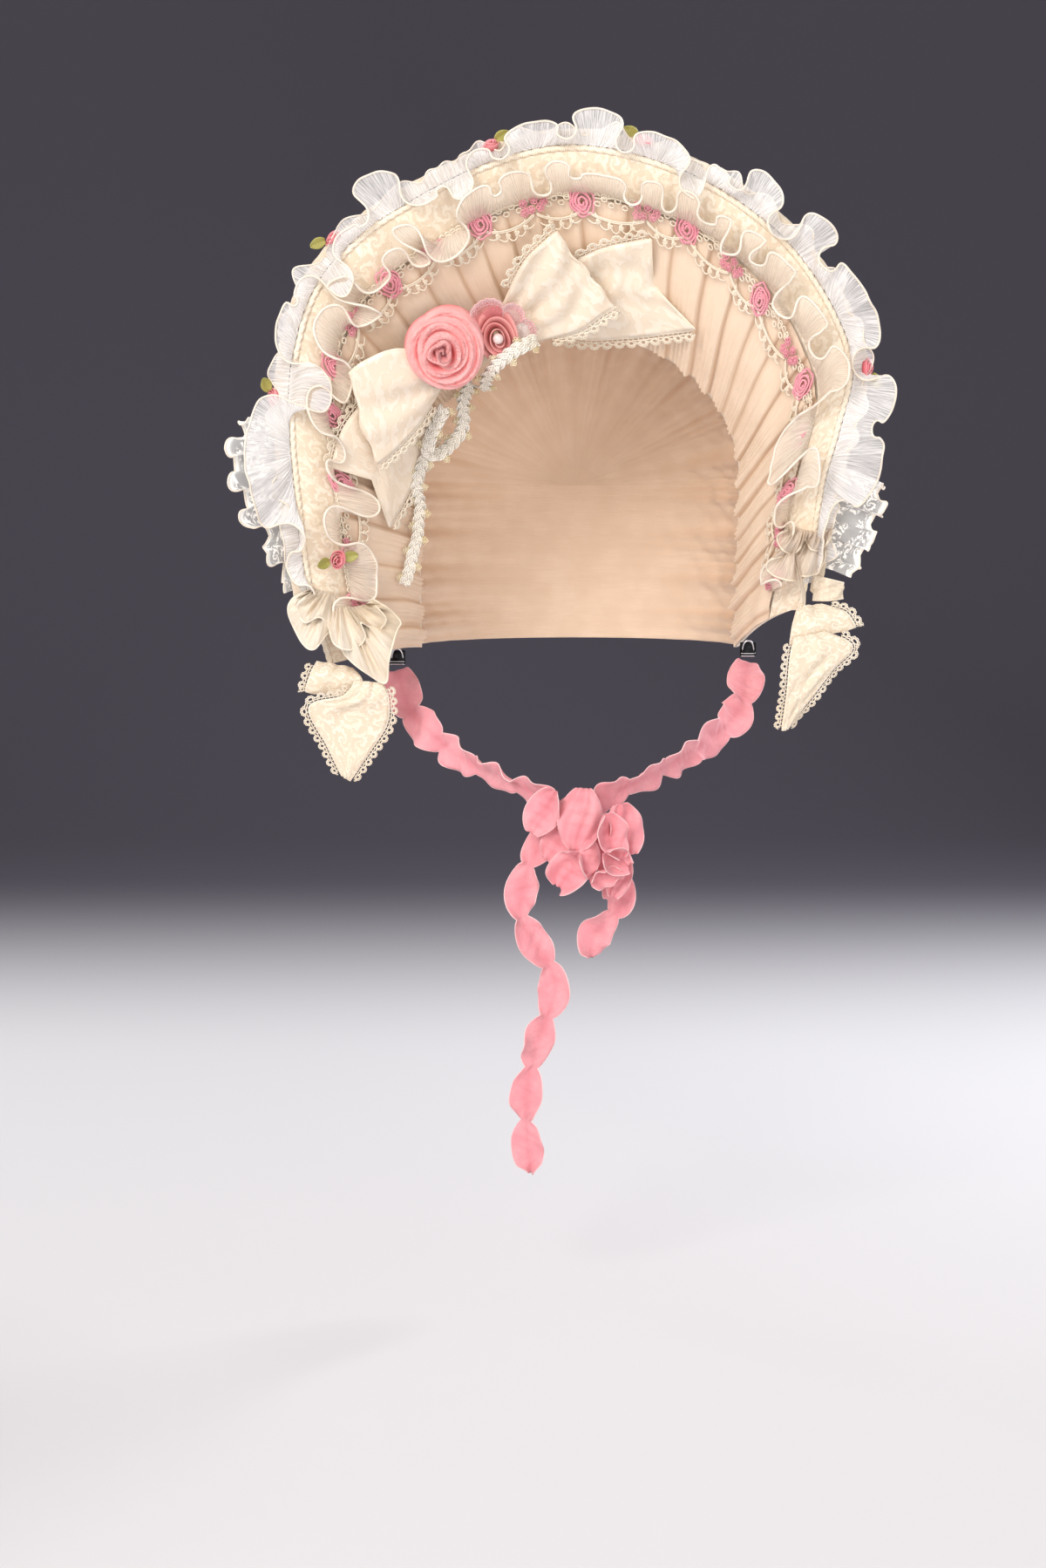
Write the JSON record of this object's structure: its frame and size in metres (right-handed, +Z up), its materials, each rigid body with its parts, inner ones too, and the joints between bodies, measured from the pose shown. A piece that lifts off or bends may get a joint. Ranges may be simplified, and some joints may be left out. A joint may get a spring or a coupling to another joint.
{
  "type": "ruffled bonnet",
  "caption": "Wide-brimmed cloth bonnet with ruffled rim, rose lace, a damask bow with rolled roses and petal ribbon ties under the chin.",
  "frame": {"origin": "where the crown's inside rests on the top of the head", "axes": "+Z up the head, -Y out of the face opening, +X to the right in the front view"},
  "size_m": [0.3393, 0.2188, 0.5433],
  "materials": {
    "cream_damask": "satin",
    "beige_lining": "matte",
    "cream_cord": "satin",
    "cream_chiffon": "matte",
    "white_chiffon": "matte",
    "cream_lace": "matte",
    "white_lace": "matte",
    "pink_lace": "matte",
    "pink_muslin": "matte",
    "pink_satin": "satin",
    "pink_ribbon": "matte",
    "green_leaf": "satin",
    "white_pearl": "gloss",
    "dark_steel": "polished"
  },
  "bodies": {
    "root": {"crown": "cream_damask", "brim": "cream_damask", "brim_lining": "beige_lining", "brim_border": "cream_damask", "rim_piping": "cream_cord", "outer_ruffle": "white_chiffon", "side_lace_left": "white_lace", "side_lace_right": "white_lace", "inner_ruffle": "cream_chiffon", "rose_lace": "cream_lace", "bow_left_loop": "cream_damask", "bow_right_loop": "cream_damask", "bow_left_tail": "cream_damask", "bow_right_tail": "cream_damask", "bow_knot": "cream_damask", "muslin_rose": "pink_muslin", "satin_rose": "pink_satin", "rose_pearl": "white_pearl", "lace_petals": "pink_lace", "braid_cross": "cream_cord", "braid_loop": "cream_cord", "braid_tail": "cream_cord", "rosebud_1": "pink_satin", "rosebud_leaf_1": "green_leaf", "rosebud_2": "pink_satin", "rosebud_leaf_2": "green_leaf", "rosebud_3": "pink_satin", "rosebud_leaf_3": "green_leaf", "rosebud_4": "pink_satin", "rosebud_leaf_4": "green_leaf", "rosebud_5": "pink_satin", "rosebud_leaf_5": "green_leaf", "rosebud_6": "pink_satin", "rosebud_leaf_6": "green_leaf", "end_ruffle_left": "cream_chiffon", "end_ruffle_right": "cream_chiffon", "side_loop_left": "cream_damask", "side_tail_left": "cream_damask", "side_loop_right": "cream_damask", "side_tail_right": "cream_damask", "side_tab_right": "cream_damask", "ribbon_clip_left": "dark_steel", "ribbon_clip_right": "dark_steel", "chin_tie_left": "pink_ribbon", "chin_tie_right": "pink_ribbon", "tie_tail_long": "pink_ribbon", "tie_tail_short": "pink_ribbon", "tie_knot": "pink_ribbon", "tie_petal_1": "pink_ribbon", "tie_petal_2": "pink_ribbon", "tie_petal_3": "pink_ribbon", "tie_petal_4": "pink_ribbon", "tie_petal_5": "pink_ribbon"}
  },
  "joints": []
}
